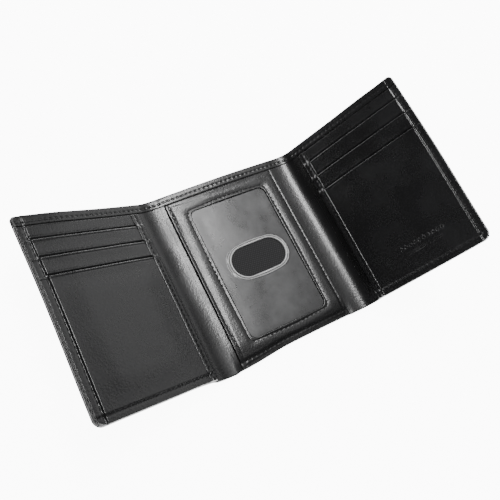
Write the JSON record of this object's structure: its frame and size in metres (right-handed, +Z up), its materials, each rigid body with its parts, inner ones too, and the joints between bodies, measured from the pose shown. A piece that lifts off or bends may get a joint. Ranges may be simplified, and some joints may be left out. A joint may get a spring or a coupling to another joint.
{
  "type": "trifold wallet",
  "caption": "Trifold wallet of smooth leather: a centre panel with a framed clear card window, folding side panels with stepped card slots, and a full-width note compartment behind.",
  "frame": {"origin": "middle of the centre panel's flat underside, on the surface the open wallet lies on", "axes": "+X towards the right side panel, +Y towards the open mouth of the note compartment, +Z up out of the card window"},
  "size_m": [0.2156, 0.106, 0.0667],
  "materials": {
    "black_leather": "smooth, semi-gloss, fine grain",
    "lining_cloth": "plain woven, matt",
    "woven_back": "twill woven, matt",
    "clear_vinyl": "clear, slightly hazy",
    "thread": "waxed thread, slight sheen"
  },
  "bodies": {
    "centre": {"centre_bottom_seam": "thread", "centre_bottom_turned_edge": "black_leather", "centre_cover_hem": "black_leather", "centre_cover_lining": "lining_cloth", "centre_divider": "black_leather", "centre_divider_hem": "black_leather", "centre_divider_lining": "lining_cloth", "centre_hem_seams": "thread", "centre_outer_cover": "black_leather", "id_frame": "black_leather", "id_frame_side_seams": "thread", "id_pocket_back": "woven_back", "id_window": "clear_vinyl", "id_window_seam": "thread", "left_fold_cover_hem": "black_leather", "left_fold_cover_lining": "lining_cloth", "left_fold_divider": "black_leather", "left_fold_divider_hem": "black_leather", "left_fold_divider_lining": "lining_cloth", "left_fold_hem_seams": "thread", "left_fold_outer_cover": "black_leather", "right_fold_cover_hem": "black_leather", "right_fold_cover_lining": "lining_cloth", "right_fold_divider": "black_leather", "right_fold_divider_hem": "black_leather", "right_fold_divider_lining": "lining_cloth", "right_fold_hem_seams": "thread", "right_fold_outer_cover": "black_leather"},
    "left_panel": {"left_bottom_turned_edge": "black_leather", "left_cover_hem": "black_leather", "left_cover_lining": "lining_cloth", "left_divider": "black_leather", "left_divider_hem": "black_leather", "left_divider_lining": "lining_cloth", "left_edge_seam": "thread", "left_hem_seams": "thread", "left_outer_cover": "black_leather", "left_pocket_base": "black_leather", "left_pocket_binding": "black_leather", "left_pocket_seam": "thread", "left_side_turned_edge": "black_leather", "left_slot_front": "black_leather", "left_slot_middle": "black_leather", "left_slot_upper": "black_leather"},
    "right_panel": {"right_bottom_turned_edge": "black_leather", "right_cover_hem": "black_leather", "right_cover_lining": "lining_cloth", "right_divider": "black_leather", "right_divider_hem": "black_leather", "right_divider_lining": "lining_cloth", "right_edge_seam": "thread", "right_hem_seams": "thread", "right_outer_cover": "black_leather", "right_pocket_base": "black_leather", "right_pocket_binding": "black_leather", "right_pocket_seam": "thread", "right_side_turned_edge": "black_leather", "right_slot_front": "black_leather", "right_slot_middle": "black_leather", "right_slot_upper": "black_leather"}
  },
  "joints": [
    {"name": "left_fold", "type": "hinge", "parent": "centre", "child": "left_panel", "pos_m": [-0.0452, 0, 0.006], "axis": [0, 1, 0], "range_deg": [-27, 153], "deforming": ["left_fold_cover_hem", "left_fold_cover_lining", "left_fold_divider", "left_fold_divider_hem", "left_fold_divider_lining", "left_fold_hem_seams", "left_fold_outer_cover"]},
    {"name": "right_fold", "type": "hinge", "parent": "centre", "child": "right_panel", "pos_m": [0.0452, 0, 0.0092], "axis": [0, -1, 0], "range_deg": [-51.5, 128.5], "deforming": ["right_fold_cover_hem", "right_fold_cover_lining", "right_fold_divider", "right_fold_divider_hem", "right_fold_divider_lining", "right_fold_hem_seams", "right_fold_outer_cover"]}
  ]
}
